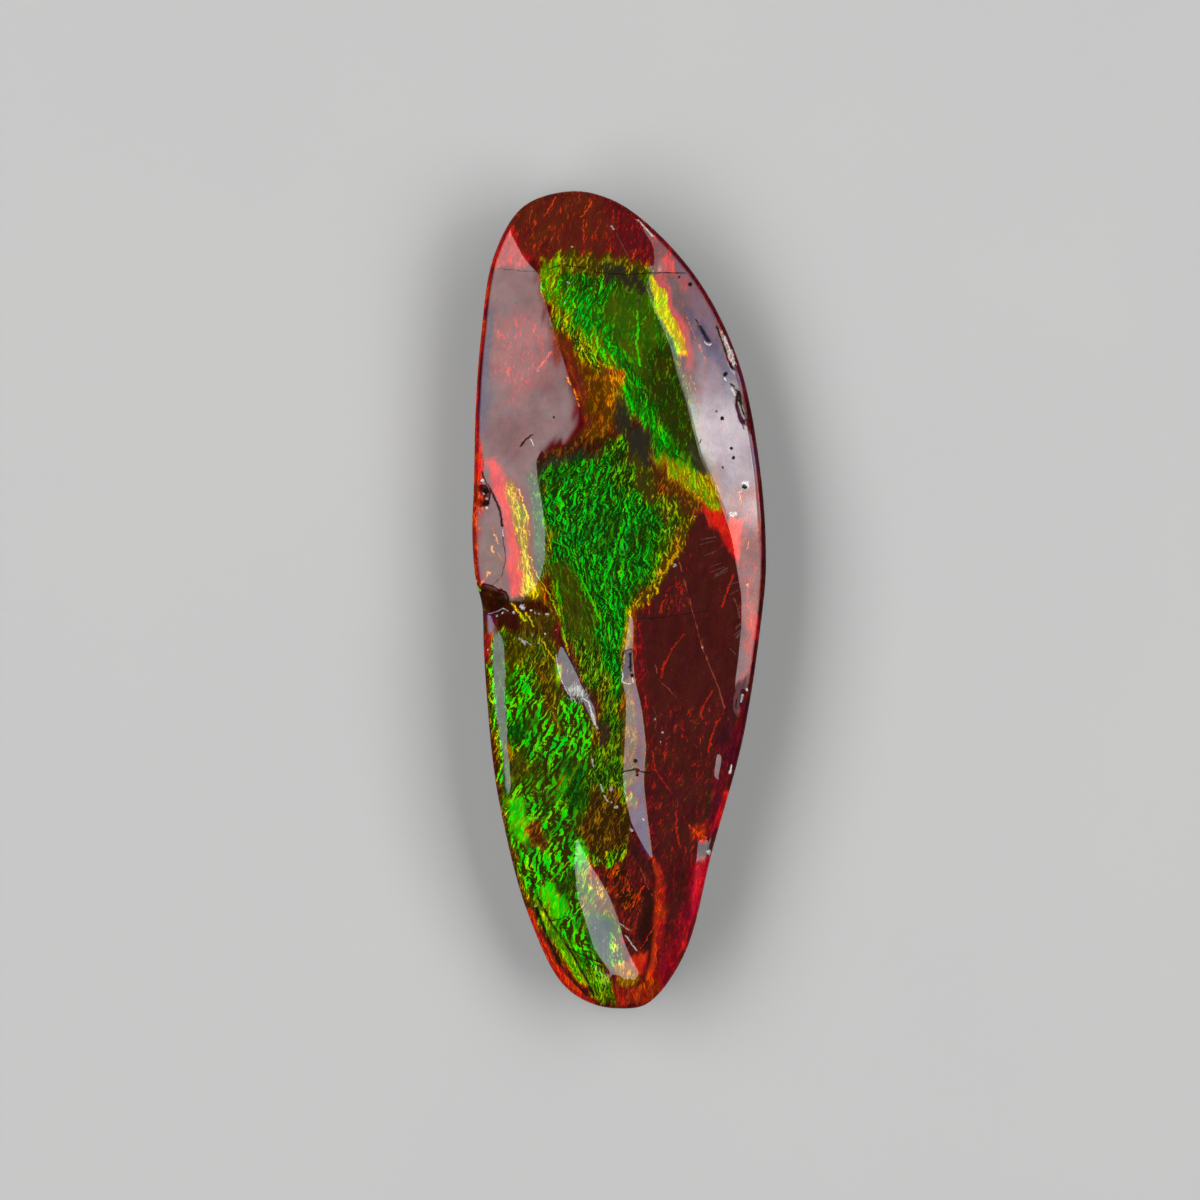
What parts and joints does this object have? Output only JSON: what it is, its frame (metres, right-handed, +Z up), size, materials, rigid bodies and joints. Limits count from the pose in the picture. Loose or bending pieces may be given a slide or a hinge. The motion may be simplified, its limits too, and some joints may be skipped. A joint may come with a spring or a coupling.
{
  "type": "ammolite specimen",
  "caption": "Long, narrow free-form stone of polished ammolite with lapped facets on its face, a broad end, a narrow tip and a flat ground back.",
  "frame": {"origin": "centre of the footprint, on the flat back that the stone lies on", "axes": "+Z up out of the polished face, +Y along the length towards the broad end, +X across the width"},
  "size_m": [0.0176, 0.049, 0.0062],
  "materials": {
    "ammolite": "polished iridescent shell layer, green to red with yellow and orange between, ground dark underside"
  },
  "bodies": {
    "root": {"ammolite": "ammolite"}
  },
  "joints": []
}
